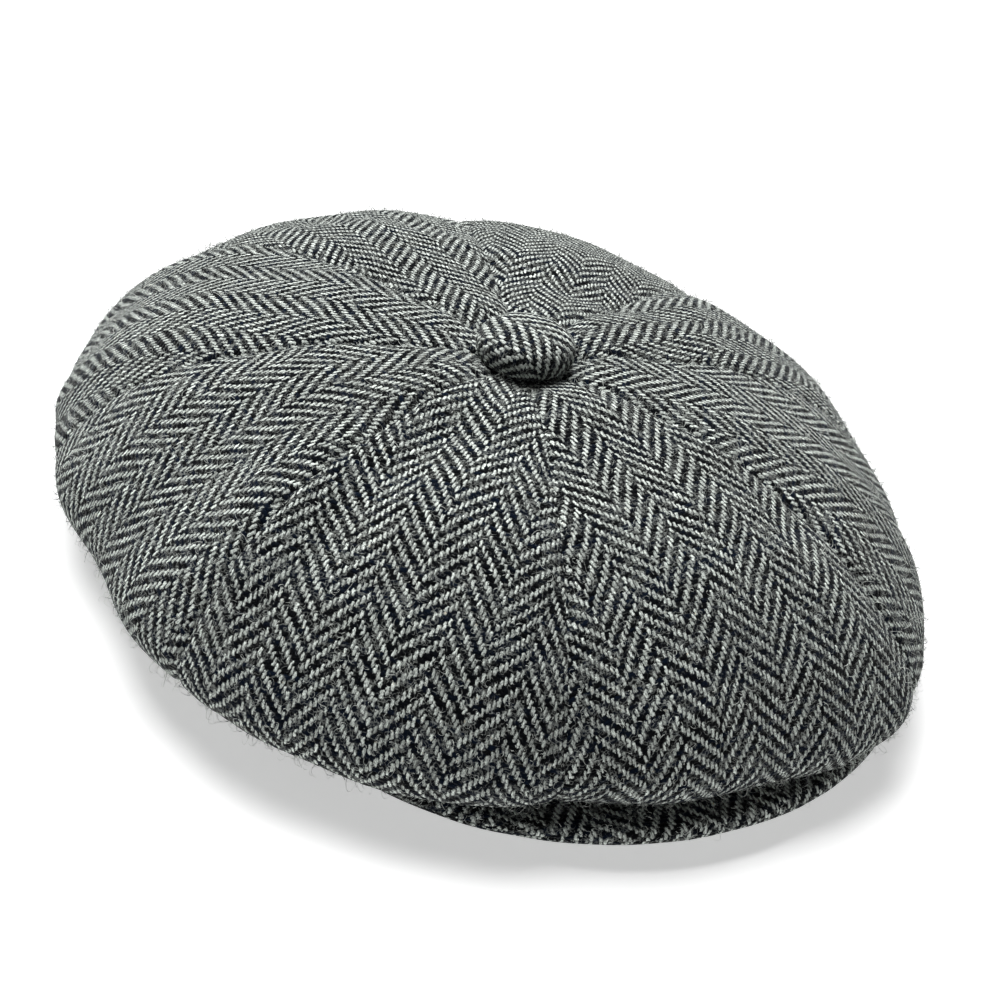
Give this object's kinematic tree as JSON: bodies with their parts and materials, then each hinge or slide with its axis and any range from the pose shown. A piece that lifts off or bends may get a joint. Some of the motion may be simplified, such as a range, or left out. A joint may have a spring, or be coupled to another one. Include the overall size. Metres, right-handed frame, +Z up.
{
  "type": "newsboy cap",
  "caption": "Panelled tweed newsboy cap: full soft crown of gores over a headband, short stiff peak and a covered button at the apex.",
  "frame": {"origin": "centre of the head opening, on the plane of the headband's lower edge, which the cap rests on", "axes": "+Z up out of the crown, -Y to the front where the peak is, +X to the wearer's left"},
  "size_m": [0.278, 0.3209, 0.088],
  "materials": {
    "tweed": "matte woollen herringbone twill, light grey warp on a black and navy weft",
    "lining": "smooth satin weave with a soft sheen",
    "interlining": "stiff matte buckram",
    "sweatband_cotton": "matte ribbed cotton ribbon",
    "peak_board": "matte",
    "button_metal": "plain pressed",
    "thread": "matte waxed thread"
  },
  "bodies": {
    "root": {"crown_panel_front": "tweed", "crown_panel_front_left": "tweed", "crown_panel_left": "tweed", "crown_panel_back_left": "tweed", "crown_panel_back": "tweed", "crown_panel_back_right": "tweed", "crown_panel_right": "tweed", "crown_panel_front_right": "tweed", "lining_panel_front": "lining", "lining_panel_front_left": "lining", "lining_panel_left": "lining", "lining_panel_back_left": "lining", "lining_panel_back": "lining", "lining_panel_back_right": "lining", "lining_panel_right": "lining", "lining_panel_front_right": "lining", "headband": "tweed", "headband_interlining": "interlining", "sweatband": "sweatband_cotton", "peak_top_cover": "tweed", "peak_board": "peak_board", "peak_under_cover": "tweed", "button_cover": "tweed", "button_shell": "button_metal", "button_back": "button_metal", "button_thread": "thread"}
  },
  "joints": []
}
